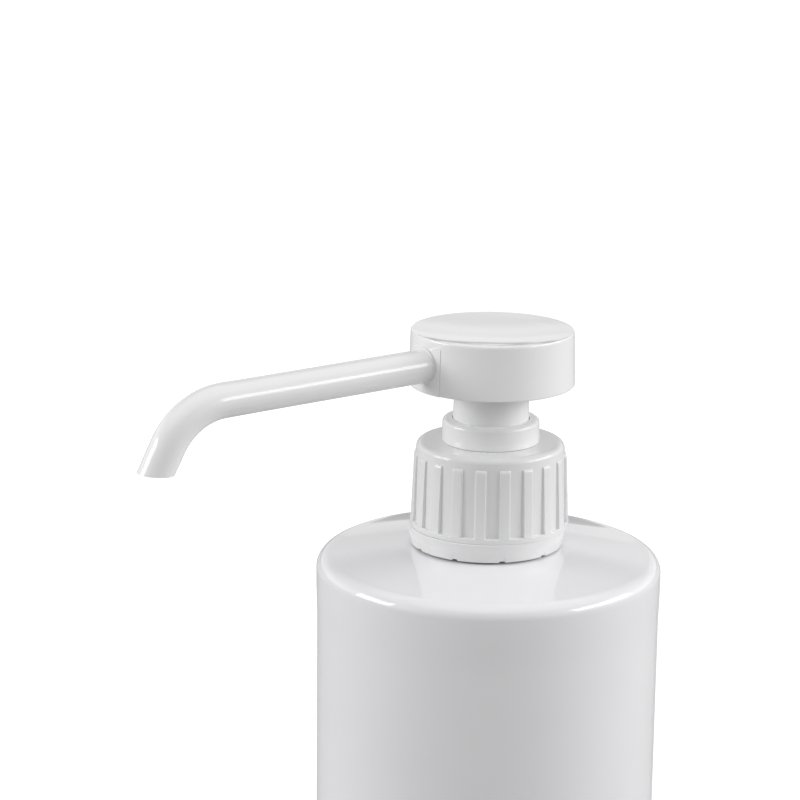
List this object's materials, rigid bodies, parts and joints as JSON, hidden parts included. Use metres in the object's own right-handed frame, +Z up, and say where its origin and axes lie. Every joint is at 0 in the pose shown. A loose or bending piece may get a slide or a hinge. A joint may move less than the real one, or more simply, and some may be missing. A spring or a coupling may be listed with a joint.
{
  "type": "condiment pump dispenser",
  "caption": "Cylindrical one-litre bottle with a ribbed screw collar and a press pump, its round head carrying a long spout bent down at the tip.",
  "frame": {"origin": "centre of the bottle's flat base, on the bottle's axis", "axes": "+Z up along the bottle's axis, the spout reaching out along -X at rest"},
  "size_m": [0.1491, 0.0902, 0.24],
  "materials": {
    "bottle_white": "very glossy white blow-moulded bottle",
    "collar_white": "satin-gloss white injection moulding",
    "head_white": "glossy white injection moulding",
    "spout_white": "glossy white moulded tube",
    "natural_plastic": "milky natural polyethylene",
    "seal_soft": "soft grey sealing plastic",
    "stainless": "bright stainless steel"
  },
  "bodies": {
    "bottle_body": {"bottle": "bottle_white"},
    "band_body": {"tamper_band": "collar_white"},
    "pump_body": {"pump_cylinder": "natural_plastic", "guide_ring": "collar_white", "stem_wiper": "seal_soft", "neck_gasket": "seal_soft", "ball_cage": "natural_plastic", "return_spring": "stainless", "dip_tube": "natural_plastic"},
    "collar_body": {"screw_collar": "collar_white"},
    "piston_body": {"piston": "natural_plastic", "piston_seal": "seal_soft"},
    "head_body": {"piston_rod": "natural_plastic", "outlet_retainer": "natural_plastic", "stem_sleeve": "head_white", "head_core": "head_white", "head_cap": "head_white", "spout_tube": "spout_white"},
    "inlet_ball_body": {"inlet_ball": "stainless"},
    "outlet_ball_body": {"outlet_ball": "stainless"}
  },
  "joints": [
    {"name": "pump_lift", "type": "slide", "parent": "bottle_body", "child": "pump_body", "axis": [0, 0, 1], "range_m": [0, 0.00635]},
    {"name": "collar_turn", "type": "hinge", "parent": "pump_body", "child": "collar_body", "pos_m": [0, 0, 0.2], "axis": [0, 0, 1], "range_deg": [0, 540]},
    {"name": "press", "type": "slide", "parent": "pump_body", "child": "piston_body", "axis": [0, 0, -1], "range_m": [0, 0.01], "stiffness_N_per_m": 1000, "springref_m": -0.006, "deforming": ["return_spring"]},
    {"name": "head_turn", "type": "hinge", "parent": "piston_body", "child": "head_body", "pos_m": [0, 0, 0.2], "axis": [0, 0, 1], "continuous": true},
    {"name": "inlet_ball_lift", "type": "slide", "parent": "pump_body", "child": "inlet_ball_body", "axis": [0, 0, 1], "range_m": [0, 0.0015]},
    {"name": "outlet_ball_lift", "type": "slide", "parent": "head_body", "child": "outlet_ball_body", "axis": [0, 0, 1], "range_m": [0, 0.0012]},
    {"name": "band_turn", "type": "hinge", "parent": "bottle_body", "child": "band_body", "pos_m": [-0.001, -0.00027, 0.1857], "axis": [0, 0, 1], "continuous": true}
  ],
  "couplings": [
    {"joint": "collar_turn", "follows": "pump_lift", "rad_per_m": 1484.2}
  ]
}
